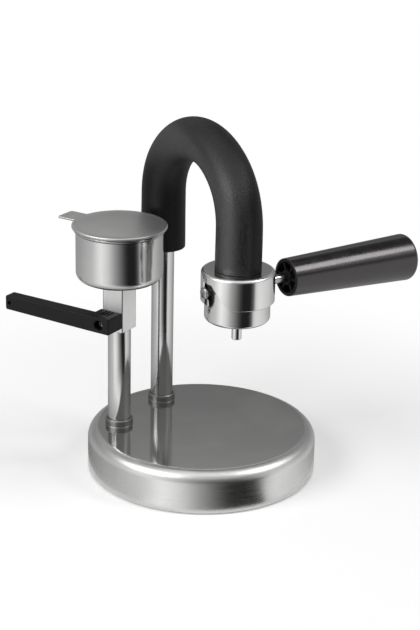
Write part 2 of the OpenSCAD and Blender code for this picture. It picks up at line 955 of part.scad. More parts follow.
module relief_body() {
    color(brass)
        at_relief()
            difference() {
                union() {
                    cylinder(d = relief_flats / cos(30), h = relief_head_t, $fn = 6);
                    translate([0, 0, -relief_len])
                        cylinder(d = relief_d, h = relief_len + eps);
                }
                translate([0, 0, -relief_len - eps])
                    cylinder(d = relief_pin_d + 2 * shaft_gap, h = relief_len + relief_head_t + 2 * eps);
            }
}

module relief_pin() {
    color(polished)
        at_relief()
            translate([0, 0, -relief_len - relief_travel])
                cylinder(d = relief_pin_d,
                    h = relief_travel + relief_len + relief_head_t + relief_pin_out);
}

// The nut's corners meet the wall first, because the wall is round.
module relief_nut() {
    wall_r = boiler_r - boiler_wall;
    nut_corner = relief_flats / cos(30) / 2;
    wall_sag = wall_r - sqrt(wall_r * wall_r - nut_corner * nut_corner);
    color(brass)
        at_relief()
            translate([0, 0, -boiler_wall - wall_sag - joint_gap - relief_nut_t])
                difference() {
                    cylinder(d = relief_flats / cos(30), h = relief_nut_t, $fn = 6);
                    translate([0, 0, -eps])
                        cylinder(d = relief_d + 2 * joint_gap, h = relief_nut_t + 2 * eps);
                }
}

boiler_shell();
boiler_floor();
fill_boss();
column_boss();
fill_tube();
riser_tube();
arm_sleeve();
group_head();
group_gasket();
shower_screen();
holder_body();
filter_basket();
spout();
lock_pin();
handle_stud();
handle_grip();
valve_body();
valve_ball();
lower_seat();
upper_seat();
valve_stem();
stem_packing();
valve_lever();
lever_screw();
cup_nipple();
cup_washer();
filling_cup();
cup_lid();
relief_body();
relief_pin();
relief_nut();
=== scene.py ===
import math

import bmesh
import bpy
import numpy as np
from mathutils import Matrix, Vector


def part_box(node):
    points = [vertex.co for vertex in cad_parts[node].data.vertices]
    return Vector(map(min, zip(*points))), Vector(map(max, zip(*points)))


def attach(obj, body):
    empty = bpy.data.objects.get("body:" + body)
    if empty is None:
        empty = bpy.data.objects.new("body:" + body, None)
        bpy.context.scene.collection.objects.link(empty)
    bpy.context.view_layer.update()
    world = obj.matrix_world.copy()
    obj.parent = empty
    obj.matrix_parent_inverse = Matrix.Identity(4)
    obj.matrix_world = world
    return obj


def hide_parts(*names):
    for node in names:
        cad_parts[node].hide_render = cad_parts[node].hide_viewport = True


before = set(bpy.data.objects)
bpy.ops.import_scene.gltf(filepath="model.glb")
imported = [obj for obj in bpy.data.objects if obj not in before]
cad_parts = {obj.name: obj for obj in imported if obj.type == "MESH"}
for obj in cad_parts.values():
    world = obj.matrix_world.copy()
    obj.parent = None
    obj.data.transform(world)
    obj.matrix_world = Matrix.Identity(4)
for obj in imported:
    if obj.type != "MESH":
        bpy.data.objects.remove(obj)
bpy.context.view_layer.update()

# Boiler shell: one sheet of stainless steel drawn into a flat drum, polished on its top and
# satin on its side, with a soft rolled edge between them. The tubes are brazed into its top
# and the heavy floor is welded in from below.

MM = 0.001


def solid(name):
    """Lowest and highest corner of a solid of the frame, in millimetres."""
    return [np.round(np.array(corner) / MM, 3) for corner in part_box(name)]


shell_low, shell_high = solid("boiler_shell")
boiler_r = shell_high[0]
boiler_top = shell_high[2]
shell_foot = shell_low[2]
boiler_roll = 7.5
boiler_wall = 1.2


def eased(corners, steps=9):
    """Section through corners (across, along, radius): each corner becomes an arc that meets
    both of its edges at a tangent. The arc's points are a turning mix of its two end radii, and
    a point just before and after it keeps the flats beside it flat."""
    corners = np.asarray(corners, float)
    point, radius = corners[:, :2], corners[:, 2:3]
    back = np.roll(point, 1, 0) - point
    ahead = np.roll(point, -1, 0) - point
    back_len = np.linalg.norm(back, axis=1, keepdims=True)
    ahead_len = np.linalg.norm(ahead, axis=1, keepdims=True)
    back, ahead = back / back_len, ahead / ahead_len
    half = 0.5 * np.arccos(np.clip((back * ahead).sum(1, keepdims=True), -1, 1))
    bend = np.clip(np.pi - 2 * half, 1e-6, None)
    run = np.where(radius > 0, radius / np.tan(half), 0)
    mid = back + ahead
    mid = mid / np.clip(np.linalg.norm(mid, axis=1, keepdims=True), 1e-9, None)
    hub = point + mid * np.where(radius > 0, radius / np.sin(half), 0)
    start, end = point + back * run - hub, point + ahead * run - hub
    share = np.linspace(0, 1, steps)[None, :, None]
    swing = bend[:, :, None]
    arc = np.sin((1 - share) * swing) * start[:, None] + np.sin(share * swing) * end[:, None]
    arc = hub[:, None] + arc / np.sin(np.clip(swing, 1e-6, np.pi - 1e-6))
    guard = np.where(radius > 0, 0.35, 0)
    first = point + back * (run + np.minimum(guard, 0.2 * back_len))
    last = point + ahead * (run + np.minimum(guard, 0.2 * ahead_len))
    return np.concatenate([first[:, None], arc, last[:, None]], axis=1).reshape(-1, 2)


def turned(section, foot, steps=192, across=(1, 0, 0), over=(0, 1, 0), along=(0, 0, 1)):
    """Surface of revolution: a section point at distance r from the axis and height h along it
    goes to foot + r (cos a across + sin a over) + h along, for steps equal angles a. A section
    that starts and ends on the axis is closed by its two poles, and any other is a ring."""
    angle = np.linspace(0, 2 * np.pi, steps, endpoint=False)[:, None, None]
    spoke = np.cos(angle) * np.array(across) + np.sin(angle) * np.array(over)
    grid = np.array(foot) + section[None, :, :1] * spoke + section[None, :, 1:] * np.array(along)
    on_axis = abs(section[0, 0]) < 1e-9 and abs(section[-1, 0]) < 1e-9
    return grid, True, not on_axis


def placed(name, data):
    """A new object of the scene, from a mesh, a lamp or a camera."""
    thing = bpy.data.objects.new(name, data)
    bpy.context.scene.collection.objects.link(thing)
    return thing


crease = math.radians(33)


def add_piece(name, grids, body, finish, nodes):
    """Joins grids of points in millimetres, each with a flag for rows and for columns that close
    on themselves, into one mesh in metres. Doubled points at poles are merged grid by grid and
    the faces of each closed grid are turned outwards."""
    whole = bmesh.new()
    for grid, round_rows, round_columns in grids:
        index = np.arange(grid.shape[0] * grid.shape[1]).reshape(grid.shape[:2])
        if round_rows:
            index = np.concatenate([index, index[:1]], axis=0)
        if round_columns:
            index = np.concatenate([index, index[:, :1]], axis=1)
        quads = [index[:-1, :-1], index[1:, :-1], index[1:, 1:], index[:-1, 1:]]
        part = bpy.data.meshes.new(name)
        part.from_pydata((grid.reshape(-1, 3) * MM).tolist(), [],
                         np.stack(quads, -1).reshape(-1, 4).tolist())
        work = bmesh.new()
        work.from_mesh(part)
        bmesh.ops.remove_doubles(work, verts=work.verts[:], dist=1e-6)
        bmesh.ops.recalc_face_normals(work, faces=work.faces[:])
        work.to_mesh(part)
        work.free()
        whole.from_mesh(part)
        bpy.data.meshes.remove(part)
    mesh = bpy.data.meshes.new(name)
    whole.to_mesh(mesh)
    whole.free()
    mesh.shade_smooth()
    mesh.set_sharp_from_angle(angle=crease)
    mesh.materials.append(finish)
    piece = placed(name, mesh)
    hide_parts(*nodes)
    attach(piece, body)
    return piece


class Signal:
    """One output socket of a shader tree. An expression on signals and numbers adds the Math
    nodes that work it out."""

    def __init__(self, tree, socket=None):
        self.tree = tree
        self.socket = socket

    def add(self, kind, settings=None, sockets=None, out=0):
        """Adds a node of this kind, gives it its settings, then fills or links its sockets."""
        node = self.tree.nodes.new(kind)
        for key, value in (settings or {}).items():
            setattr(node, key, value)
        for key, value in (sockets or {}).items():
            if isinstance(value, Signal):
                self.tree.links.new(value.socket, node.inputs[key])
            else:
                node.inputs[key].default_value = value
        return Signal(self.tree, node.outputs[out] if len(node.outputs) else None)

    def math(self, operation, first, second=0.0):
        return self.add("ShaderNodeMath", {"operation": operation}, {0: first, 1: second})

    def parts(self):
        """The three numbers of a vector."""
        split = self.add("ShaderNodeSeparateXYZ", sockets={0: self})
        return [Signal(self.tree, socket) for socket in split.socket.node.outputs]

    def length(self):
        return self.add("ShaderNodeVectorMath", {"operation": "LENGTH"}, {0: self}, out="Value")

    def __add__(self, other):
        return self.math("ADD", self, other)

    __radd__ = __add__

    def __sub__(self, other):
        return self.math("SUBTRACT", self, other)

    def __rsub__(self, other):
        return self.math("SUBTRACT", other, self)

    def __mul__(self, other):
        return self.math("MULTIPLY", self, other)

    __rmul__ = __mul__


def emptied(owner):
    """Start of the shader tree of a material or a world, cleared of its nodes."""
    owner.use_nodes = True
    owner.node_tree.nodes.clear()
    return Signal(owner.node_tree)


def start_finish(name):
    """An empty material, and the place of a surface point in it in metres."""
    material = bpy.data.materials.new(name)
    return material, emptied(material).add("ShaderNodeTexCoord", out="Object")


def end_finish(place, colour, rough, normal=None, metal=0.0, others=None):
    """The surface itself, from plain numbers and from signals that vary over it."""
    sockets = {"Base Color": colour, "Roughness": rough, "Metallic": metal, **(others or {})}
    if normal:
        sockets["Normal"] = normal
    surface = place.add("ShaderNodeBsdfPrincipled", sockets=sockets)
    place.add("ShaderNodeOutputMaterial", sockets={"Surface": surface})


def mapped(vector, **sockets):
    """The vector moved, turned or scaled, by a constant for each of these."""
    return vector.add("ShaderNodeMapping", sockets={"Vector": vector, **sockets})


def noise(vector, scale, detail=2.0, rough=0.5):
    """Cloudy noise round 0.5. A larger scale makes it finer."""
    return vector.add("ShaderNodeTexNoise", sockets={
        "Vector": vector, "Scale": scale, "Detail": detail, "Roughness": rough})


def between(value, low, high, to_low=0.0, to_high=1.0):
    """The value carried smoothly from the range low to high onto another."""
    return value.add("ShaderNodeMapRange", {"interpolation_type": "SMOOTHSTEP"}, {
        "Value": value, "From Min": low, "From Max": high, "To Min": to_low, "To Max": to_high})


def within(value, low, high, to_low=0.0, to_high=1.0):
    """The same for a length, with low and high in millimetres."""
    return between(value, low * MM, high * MM, to_low, to_high)


def blended(share, first, second):
    """A colour between two, by the share. Either may be a colour that varies already."""
    ends = [end if isinstance(end, Signal) else (*end, 1) for end in (first, second)]
    return share.add("ShaderNodeMix", {"data_type": "RGBA"}, {0: share, 6: ends[0], 7: ends[1]}, out=2)


def bumped(height, strength, depth=0.2):
    """The surface's normal where a varying height, of a depth in millimetres, lifts it."""
    return height.add("ShaderNodeBump", sockets={
        "Strength": strength, "Distance": depth * MM, "Height": height})


def round_lines(place, axis, fine):
    """Turning lines about an upright axis: noise that changes fast with the distance from the
    axis and with the height, and slowly round the axis. Also gives that distance and height."""
    x, y, z = mapped(place, Location=(-axis[0] * MM, -axis[1] * MM, 0)).parts()
    away = place.math("SQRT", x * x + y * y)
    round_it = place.math("ARCTAN2", y, x)
    stretched = place.add("ShaderNodeCombineXYZ", sockets={
        0: away * fine, 1: z * fine, 2: round_it * 1.5})
    return noise(stretched, 1.0, 3.0), away, z


def wiped_steel(place, axis, fine, gloss, lines, dark, light):
    """Turning lines with faint cloudy marks from wiping, as colour, roughness and bump. Also gives
    the distance from the axis and the height."""
    lines_about, away, height = round_lines(place, axis, fine)
    wiped = between(noise(place, 46.0, 3.0), 0.35, 0.75)
    rough = gloss + 0.03 * wiped + lines * between(lines_about, 0.3, 0.7)
    return blended(wiped, dark, light), rough, bumped(lines_about, lines), away, height


def turned_steel(name, axis, gloss, fine=2400.0, lines=0.05, tone=0.60, shade_line=None, corner=None):
    """Stainless steel finished in a lathe. Painted shade darkens it at a shade line where it meets
    another part, less than a millimetre above and below that line's height. A drawn lower corner,
    given by its centre's distance from the axis, its centre's height and its radius, is dull, and
    painted dark underneath as shade: its outside is what lies farther from the centre than the
    wall's middle, counted only outwards and down."""
    material, place = start_finish(name)
    colour, rough, bump, away, height = wiped_steel(
        place, axis, fine, gloss, lines, (tone * 0.97, tone * 0.97, tone * 0.965),
        (tone * 1.05, tone * 1.045, tone * 1.03))
    if shade_line:
        off_shade_line = place.math("ABSOLUTE", height - shade_line * MM)
        # Painted shade: a dark band along the shade line.
        colour = blended(within(off_shade_line, 0.3, 0.7), (0.04, 0.04, 0.04), colour)
    if corner:
        centre_away, centre_height, radius = corner
        outwards = place.math("MAXIMUM", away - centre_away * MM, 0.0)
        down = place.math("MAXIMUM", centre_height * MM - height, 0.0)
        reach = place.math("SQRT", outwards * outwards + down * down)
        outside = within(reach, radius - 0.6, radius - 0.4)
        # Painted shade: the underside of the corner is coloured near black.
        painted_underside = outside * within(down, radius - 2.5, radius - 1.5)
        colour = blended(painted_underside, colour, (0.05, 0.05, 0.05))
        rough = rough + 0.35 * outside * within(down, 0.0, 0.5 * radius)
    end_finish(place, colour, rough, bump, metal=1.0)
    return material


def boiler_finish():
    """Polished top and satin side: the satin and its turning lines begin where the flat top ends,
    at the start of the rolled edge, which is the dullest."""
    material, place = start_finish("boiler_steel")
    lines_about, away, height = round_lines(place, (0, 0), 1900.0)
    flat_end = boiler_r - boiler_roll
    roll_foot = boiler_top - boiler_roll
    side = within(away, flat_end - 0.5, flat_end + 2)
    rolled = within(height, roll_foot, roll_foot + 2)
    wiped = between(noise(place, 30.0, 4.0), 0.35, 0.75)
    drawn = between(lines_about, 0.3, 0.7)
    colour = blended(wiped, (0.565, 0.565, 0.56), (0.615, 0.61, 0.60))
    rough = 0.085 + 0.03 * wiped + side * (0.16 + 0.06 * drawn + 0.10 * rolled)
    bump = bumped(lines_about * (0.25 + 0.75 * side), 0.022)
    end_finish(place, colour, rough, bump, metal=1.0)
    return material


shell_section = eased([
    (0, boiler_top, 0),
    (boiler_r, boiler_top, boiler_roll),
    (boiler_r, shell_foot, 0.45),
    (boiler_r - boiler_wall, shell_foot, 0.3),
    (boiler_r - boiler_wall, boiler_top - boiler_wall, boiler_roll - boiler_wall),
    (0, boiler_top - boiler_wall, 0)], steps=14)
add_piece("boiler_drum", [turned(shell_section, (0, 0, 0), 288)], "stand",
          boiler_finish(), ["boiler_shell"])

# Boiler floor: a thick turned disc of steel that spreads the heat, welded inside the shell's
# lower edge. It keeps its solid, and shows its turning lines from below.


def dress(finish, *names):
    """Gives the solids of these names a finish in all of their slots."""
    for name in names:
        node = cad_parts[name]
        if not node.material_slots:
            node.data.materials.append(finish)
        for place in node.material_slots:
            place.material = finish


dress(turned_steel("turned_floor_steel", (0, 0), 0.30, fine=900.0, lines=0.12, tone=0.52),
      "boiler_floor")

# Tube feet: two turned rings of steel, brazed to the boiler's top, that hold the filling tube
# and the riser upright. Their upper edge is bevelled.

foot_low, foot_high = solid("fill_boss")
fill_axis = tuple(0.5 * (foot_low + foot_high)[:2])
riser_low, riser_high = solid("riser_tube")
tube_r = riser_high[1]
riser_x = riser_low[0] + tube_r
foot_r = 0.5 * (foot_high - foot_low)[0]
foot_top = foot_high[2]
foot_bore = tube_r + 0.02
foot_bevel = 0.8
braze = 0.25
foot_section = eased([
    (foot_bore, boiler_top, 0),
    (foot_r + braze, boiler_top, 0),
    (foot_r, boiler_top + 0.3, 0.15),
    (foot_r, foot_top - foot_bevel, 0.3),
    (foot_r - foot_bevel, foot_top, 0.3),
    (tube_r + braze, foot_top, 0.2),
    (foot_bore, foot_top - braze, 0)], steps=5)
for name, axis, node in (("filling_foot", fill_axis, "fill_boss"),
                         ("riser_foot", (riser_x, 0), "column_boss")):
    # Tone 0.20 paints the feet's steel dark, as painted shade and reflection on the rings.
    add_piece(name, [turned(foot_section, (*axis, 0), 112)], "stand",
              turned_steel(name + "_steel", axis, 0.32, tone=0.20), [node])

# Filling tube: bright drawn stainless tube that leads the water down into the boiler. It stands
# in its foot and carries the cock on its upper end.

tube_low, tube_high = solid("fill_tube")
tube_wall = 1.0
tube_edge = 0.2


def tube_section(low, high):
    """Section of the tube between two places along it, with its edges broken."""
    return eased([(tube_r - tube_wall, low, tube_edge), (tube_r, low, tube_edge),
                  (tube_r, high, tube_edge), (tube_r - tube_wall, high, tube_edge)], steps=4)


add_piece("filling_tube", [turned(tube_section(tube_low[2], tube_high[2]), (*fill_axis, 0), 128)],
          "stand",
          turned_steel("filling_tube_steel", fill_axis, 0.09, lines=0.03, tone=0.54), ["fill_tube"])

# Riser: the same tube, bent over in a half circle. It stands in the boiler, carries the brewing
# group on its other end, and brings the hot water there.

group_x = riser_high[0] - tube_r
bend_r = 0.5 * (group_x - riser_x)
bend_x = riser_x + bend_r
bend_z = riser_high[2] - tube_r - bend_r
bend_end = bend_z + math.pi * bend_r
group_low, group_high = solid("group_head")
group_top = group_high[2]
group_end = bend_end + bend_z - group_top
riser_in_group = 2.8


def thickened(section, most):
    """The same closed section with more points, so that no two lie further apart than most."""
    ring = np.concatenate([section, section[:1]])
    step = np.linalg.norm(np.diff(ring, axis=0), axis=1)
    ring = ring[np.concatenate([[True], step > 1e-7])]
    way = np.concatenate([[0], np.cumsum(step[step > 1e-7])])
    stops = np.union1d(way, np.arange(0, way[-1], most))[:-1]
    return np.stack([np.interp(stops, way, ring[:, 0]), np.interp(stops, way, ring[:, 1])], 1)


def along_riser(section, steps, swell=None):
    """A section carried along the riser. Its second number is the length s from the stove up the
    column, round the half circle and down to the group; its first is the distance r from the
    tube's middle line. The half circle turns by f = (s - start) / bend radius, held between 0
    and half a turn, and the point is the middle line plus r times a spoke across it. The swell
    is added to r, from s and the angle round the tube."""
    r, s = section[:, 0], section[:, 1]
    turn = np.clip((s - bend_z) / bend_r, 0, np.pi)
    line = np.stack([bend_x - bend_r * np.cos(turn), np.zeros_like(s),
                     np.minimum(s, bend_z) + bend_r * np.sin(turn) - np.maximum(s - bend_end, 0)], 1)
    out = np.stack([-np.cos(turn), np.zeros_like(s), np.sin(turn)], 1)
    angle = np.linspace(0, 2 * np.pi, steps, endpoint=False)[:, None]
    reach = r[None] + (0 if swell is None else swell(s[None], angle, r[None]))
    spoke = np.cos(angle)[:, :, None] * out[None] + np.sin(angle)[:, :, None] * np.array([0, 1, 0])
    return line[None] + reach[:, :, None] * spoke, True, True


riser_section = thickened(tube_section(riser_low[2], group_end + riser_in_group), 3.0)
add_piece("riser", [along_riser(riser_section, 128)], "stand",
          turned_steel("riser_steel", (riser_x, 0), 0.09, lines=0.03, tone=0.55), ["riser_tube"])

# Sleeve: a black closed-cell foam tube pushed over the hot riser, so that it can be held. It is
# cut square at its lower end and butts on the group at the other.

sleeve_low, sleeve_high = solid("arm_sleeve")
sleeve_r = sleeve_high[1]
sleeve_foot = sleeve_low[2]
sleeve_bore = tube_r + 0.05


def foam_swell(s, angle, r):
    """The outer skin alone: it is drawn thinner over the middle of the bend, by the square of a
    sine from a little before the bend to a little after it, and has the slow unevenness of
    moulded foam, three crossed waves along and round the tube."""
    thinner = 0.5
    beside = 20
    wave_height = 0.035
    wave = np.sin(s / 9.0 + 2 * angle) + np.sin(s / 5.3 - 3 * angle) + np.sin(s / 21.0 + angle)
    share = np.clip((s - bend_z + beside) / (bend_end - bend_z + 2 * beside), 0, 1)
    skin = np.clip((r - tube_r - 1) / 3, 0, 1)
    return (wave_height * wave - thinner * np.sin(np.pi * share) ** 2) * skin


def foam_finish():
    """Fine closed cells: small noise and pores as bump. The foam is a mix of two copies, as painted
    light: a shaded copy, dull and black, by the column, and a lit copy, greyer and glossier, in a
    band that goes from the outside of the arch over to its inside and down the front of the group's
    leg. On the bend it is stretched and rougher."""
    material, place = start_finish("black_foam")
    across, back, up = place.parts()
    bent = within(up, bend_z + 0.3 * bend_r, bend_z + 1.1 * bend_r)
    front = within(back, -0.45 * sleeve_r, 0.1 * sleeve_r, 1.0, 0.0)
    leg = within(across, riser_x, bend_x)
    off_bend = mapped(place, Location=(-bend_x * MM, 0, -bend_z * MM), Scale=(1, 0, 1)).length()
    drift = within(across, riser_x, riser_x + 1.6 * bend_r, 7 * MM, -7 * MM)
    off_band = place.math("ABSOLUTE", off_bend - bend_r * MM - drift)
    band = within(off_band, 5, 13, 1.0, 0.25)
    outer = within(off_bend, bend_r - 3, bend_r + 6)
    # Share of the lit copy: painted light on the sides of the sleeve that face the light.
    held = 1 - (1 - bent * band) * (1 - leg * front * (1 - 0.75 * outer * bent))
    grain = noise(place, 760.0, 4.0, 0.65)
    cells = place.add("ShaderNodeTexVoronoi", sockets={"Vector": place, "Scale": 900.0})
    pores = between(cells, 0.05, 0.35)
    bloom = between(noise(place, 34.0, 4.0), 0.3, 0.75)
    speck = between(grain, 0.35, 0.7)
    colour = blended(0.3 * bloom + 0.7 * speck, (0.001, 0.001, 0.001), (0.024, 0.024, 0.0235))
    bump = bumped(0.7 * grain + 0.3 * pores, 0.5, depth=0.5)
    # Shaded copy of the foam, painted shade.
    dull = place.add("ShaderNodeBsdfPrincipled", sockets={
        "Base Color": (0.002, 0.002, 0.002, 1), "Roughness": 0.42 + 0.06 * speck,
        "Specular IOR Level": 0.14, "Normal": bump})
    # Lit copy of the foam, painted light.
    lit_foam = place.add("ShaderNodeBsdfPrincipled", sockets={
        "Base Color": colour, "Roughness": 0.33 + 0.05 * speck + 0.3 * bent,
        "Specular IOR Level": 0.8, "Normal": bump})
    both = place.add("ShaderNodeMixShader", sockets={0: held, 1: dull, 2: lit_foam})
    place.add("ShaderNodeOutputMaterial", sockets={"Surface": both})
    return material


sleeve_section = eased([
    (sleeve_bore, sleeve_foot, 0.3),
    (sleeve_r, sleeve_foot, 0.9),
    (sleeve_r, group_end, 0.6),
    (sleeve_bore, group_end, 0.3)], steps=6)
sleeve = add_piece("foam_sleeve", [along_riser(thickened(sleeve_section, 2.2), 144, foam_swell)],
                   "stand", foam_finish(), ["arm_sleeve"])

# Group head: a turned steel cap on the riser's end. Two bayonet windows are milled through its
# skirt, each a seat over a hooked lip with a slanted roof that leads a pin up to it.

group_axis = (group_x, 0)
group_r = 0.5 * (group_high - group_low)[0]
skirt_thick, cap_thick, cap_round = 2.2, 4.2, 2.2
group_bore = group_r - skirt_thick
cap_bore = tube_r + 0.05
ceiling = group_top - cap_thick
recess_r = 16.0
recess_top = ceiling + 1.4
skirt_end = group_low[2]
pin_low, pin_high = solid("lock_pin")
pin_z = 0.5 * (pin_low + pin_high)[2]
roof_z = pin_z + 6.0
roof_start = 4.2
roof_run = 12.8


def group_finish():
    """Polished turning outside, satin over the rounded upper edge. The broken edges of the skirt
    and its windows are painted pale, as a painted highlight, and what lies inside them is painted
    near black, as painted shade."""
    material, place = start_finish("group_steel")
    bright, rough, bump, away, height = wiped_steel(
        place, group_axis, 2600.0, 0.085, 0.03, (0.60, 0.60, 0.597), (0.65, 0.648, 0.64))
    upper = (within(height, group_top - 2.6, group_top - 1.4)
             * within(away, group_r - 2.8, group_r - 2.0))
    below = within(height, roof_z + 0.2, roof_z + 0.6, 1.0, 0.0)
    # Painted shade: the inside of the skirt and the inner half of its bevel are coloured near black.
    inside = below * within(away, group_r - 0.5, group_r - 0.38, 1.0, 0.0)
    # Painted highlight: the outer half of the bevel is coloured pale and made rougher.
    highlight_bevel = below * within(away, group_r - 0.2, group_r - 0.05, 1.0, 0.0)
    bright = blended(highlight_bevel, bright, (0.92, 0.92, 0.91))
    end_finish(place, blended(inside, bright, (0.045, 0.043, 0.040)),
               rough + 0.20 * upper + 0.4 * highlight_bevel, bump, metal=1.0)
    return material


cap_section = eased([
    (group_bore, roof_z, 0),
    (group_r, roof_z, 0),
    (group_r, group_top, cap_round),
    (cap_bore, group_top, 0),
    (cap_bore, recess_top, 0),
    (recess_r, recess_top, 0),
    (recess_r, ceiling, 0),
    (group_bore, ceiling, 0)], steps=10)
seat_x, hook_x, mouth_x = -3.2, 1.4, 2.4
seat_drop, hook_drop, mouth_drop = 0.9, 4.05, 5.73
lip_x = np.array([seat_x, seat_x, hook_x, mouth_x, mouth_x])
lip_z = np.array([roof_z, pin_z - seat_drop, pin_z - hook_drop, pin_z - mouth_drop, skirt_end])


def skirt_wall(turn):
    """Wall between two windows. At height z it runs, outside and inside, from the slanted roof of
    one window, whose x goes evenly from its start over its run, to the hooked lip of the next,
    half a turn on; both edges are upright cuts, so an edge at x lies at the angle whose sine is x
    over the radius. The arc's ends and foot are bevelled, and the wall's foot closes on its
    middle line."""
    bevel = 0.6
    z = np.concatenate([np.linspace(roof_z, skirt_end + 2 * bevel, 40),
                        skirt_end + bevel * np.array([1.0, 0.5, 0.0, 0.0])])[:, None]
    inset = bevel * np.clip(1 - (z - skirt_end) / bevel, 0, 1)
    start_x = roof_start + (roof_z - z) / (roof_z - skirt_end) * roof_run
    end_x = np.interp(-z, -lip_z, lip_x)
    ends = bevel * np.array([0, 0.5, 1.0, 1.5])[None]
    share = np.linspace(0, 1, 90)[None, 1:-1]

    def arc(r, side):
        first, last = np.arcsin(start_x / r), np.pi + np.arcsin(end_x / r)
        span = (last - first) * r
        way = np.concatenate([np.repeat(ends, len(z), 0), 1.5 * bevel + (span - 3 * bevel) * share,
                              span - np.repeat(ends[:, ::-1], len(z), 0)], axis=1)
        bite = bevel * np.clip(1 - np.minimum(way, span - way) / bevel, 0, 1)
        radius = r - side * np.maximum(bite, inset)
        angle = first + way / r + turn
        return np.stack([group_x + radius * np.sin(angle), -radius * np.cos(angle),
                         np.broadcast_to(z, way.shape)], axis=-1)

    ring = np.concatenate([arc(group_r, 1), arc(group_bore, -1)[:, ::-1]], axis=1)
    ring[-1] = 0.5 * (ring[-1] + ring[-1][::-1])
    top = ring[:1].copy()
    top[0] = 0.5 * (top[0] + top[0][::-1])
    return np.concatenate([top, ring]), False, True


add_piece("group_cap", [turned(cap_section, (group_x, 0, 0), 192), skirt_wall(0.0),
                        skirt_wall(math.pi)], "stand", group_finish(), ["group_head"])

# Gasket and shower screen: a silicone ring and a pierced steel disc pressed into the group from
# below. Both keep their solids.


def silicone_finish():
    """Matte silicone with a faint dusty bloom."""
    material, place = start_finish("grey_silicone")
    bloom = between(noise(place, 260.0, 4.0), 0.3, 0.7)
    end_finish(place, blended(bloom, (0.028, 0.028, 0.030), (0.05, 0.05, 0.052)),
               0.55 + 0.15 * bloom, bumped(noise(place, 2200.0, 2.0), 0.10))
    return material


dress(silicone_finish(), "group_gasket")
dress(turned_steel("screen_steel", group_axis, 0.24, lines=0.08, tone=0.58), "shower_screen")

# Filter holder: a turned steel cup that hangs in the group on two pins, with a spout screwed
# into its bottom. The pierced basket inside keeps its solid.

holder_low, holder_high = solid("holder_body")
holder_r = 0.5 * (holder_high - holder_low)[0]
holder_bore = 18.3
holder_rim = holder_high[2]
holder_foot = holder_low[2]
holder_floor = holder_foot + 3.0
basket_seat_r = 20.1
basket_seat = holder_rim - 1.0
spout_low, spout_high = solid("spout")
spout_r = 0.5 * (spout_high - spout_low)[0]
spout_bore = 2.0
spout_hole = spout_r + 0.05
spout_tip = spout_low[2]


def holder_finish():
    """Polished turning, with painted shade, near black, on the wall round the two pins, densest at a
    point a little below each pin's axis."""
    material, place = start_finish("holder_steel")
    bright, rough, bump = wiped_steel(
        place, group_axis, 2200.0, 0.105, 0.03, (0.58, 0.58, 0.577), (0.63, 0.628, 0.62))[:3]
    squash = 0.62
    pin_shade_z = pin_z - 2.5
    from_pin = mapped(place, Location=(-group_x * MM, 0, -squash * pin_shade_z * MM),
                      Scale=(1, 0, squash))
    # Painted shade round the pins: dark colour, rougher and less metallic.
    pin_shade = within(from_pin.length(), 4.2, 5.6, 1.0, 0.0)
    end_finish(place, blended(pin_shade, bright, (0.02, 0.019, 0.018)), rough + 0.35 * pin_shade,
               bump, metal=1.0 - 0.8 * pin_shade)
    return material


holder_section = eased([
    (spout_hole, holder_foot, 0.15),
    (holder_r, holder_foot, 2.6),
    (holder_r, holder_rim, 0.3),
    (basket_seat_r, holder_rim, 0.1),
    (basket_seat_r, basket_seat, 0.1),
    (holder_bore, basket_seat, 0.2),
    (holder_bore, holder_floor, 0.6),
    (spout_hole, holder_floor, 0.1)], steps=8)
add_piece("filter_holder", [turned(holder_section, (group_x, 0, 0), 192)], "holder",
          holder_finish(), ["holder_body"])
spout_section = eased([
    (spout_bore, spout_tip + 0.3, 0.2),
    (spout_bore + 0.4, spout_tip, 0.15),
    (spout_r - 0.35, spout_tip, 0.2),
    (spout_r, spout_tip + 0.5, 0.3),
    (spout_r, holder_floor, 0.1),
    (spout_bore, holder_floor, 0.1)], steps=5)
add_piece("coffee_spout", [turned(spout_section, (group_x, 0, 0), 96)], "holder",
          turned_steel("spout_steel", group_axis, 0.11, lines=0.03, tone=0.62), ["spout"])
dress(turned_steel("basket_steel", group_axis, 0.2, lines=0.06, tone=0.60), "filter_basket")

# Bayonet pin and handle stud: two bright turned pins through the holder's wall. Each has a round
# head outside the group, and the stud goes on through its head into the handle.

pin_start = holder_bore + 0.05
pin_r = 2.3
collar_end = -pin_low[1]
pin_head = collar_end - 2.2
head_r = 0.5 * (pin_high - pin_low)[0]
stud_r = 2.9
stud_start = collar_end - 0.6
handle_near = 36.2
stud_end = handle_near + 26
droop = math.radians(1.1)
grip_way = (0, math.cos(droop), -math.sin(droop))
grip_up = (0, math.sin(droop), math.cos(droop))
pin_foot = (group_x, 0, pin_z)
grip_foot = np.array(pin_foot) + collar_end * (np.array([0, 1, 0]) - np.array(grip_way))


def pin_finish():
    """Bright machined steel with faint cloudy marks."""
    material, place = start_finish("pin_steel")
    cloud = between(noise(place, 420.0, 3.0), 0.3, 0.7)
    end_finish(place, blended(cloud, (0.36, 0.36, 0.357), (0.45, 0.447, 0.44)), 0.20 + 0.07 * cloud,
               bumped(noise(place, 3800.0, 2.0), 0.05, depth=0.1), metal=1.0)
    return material


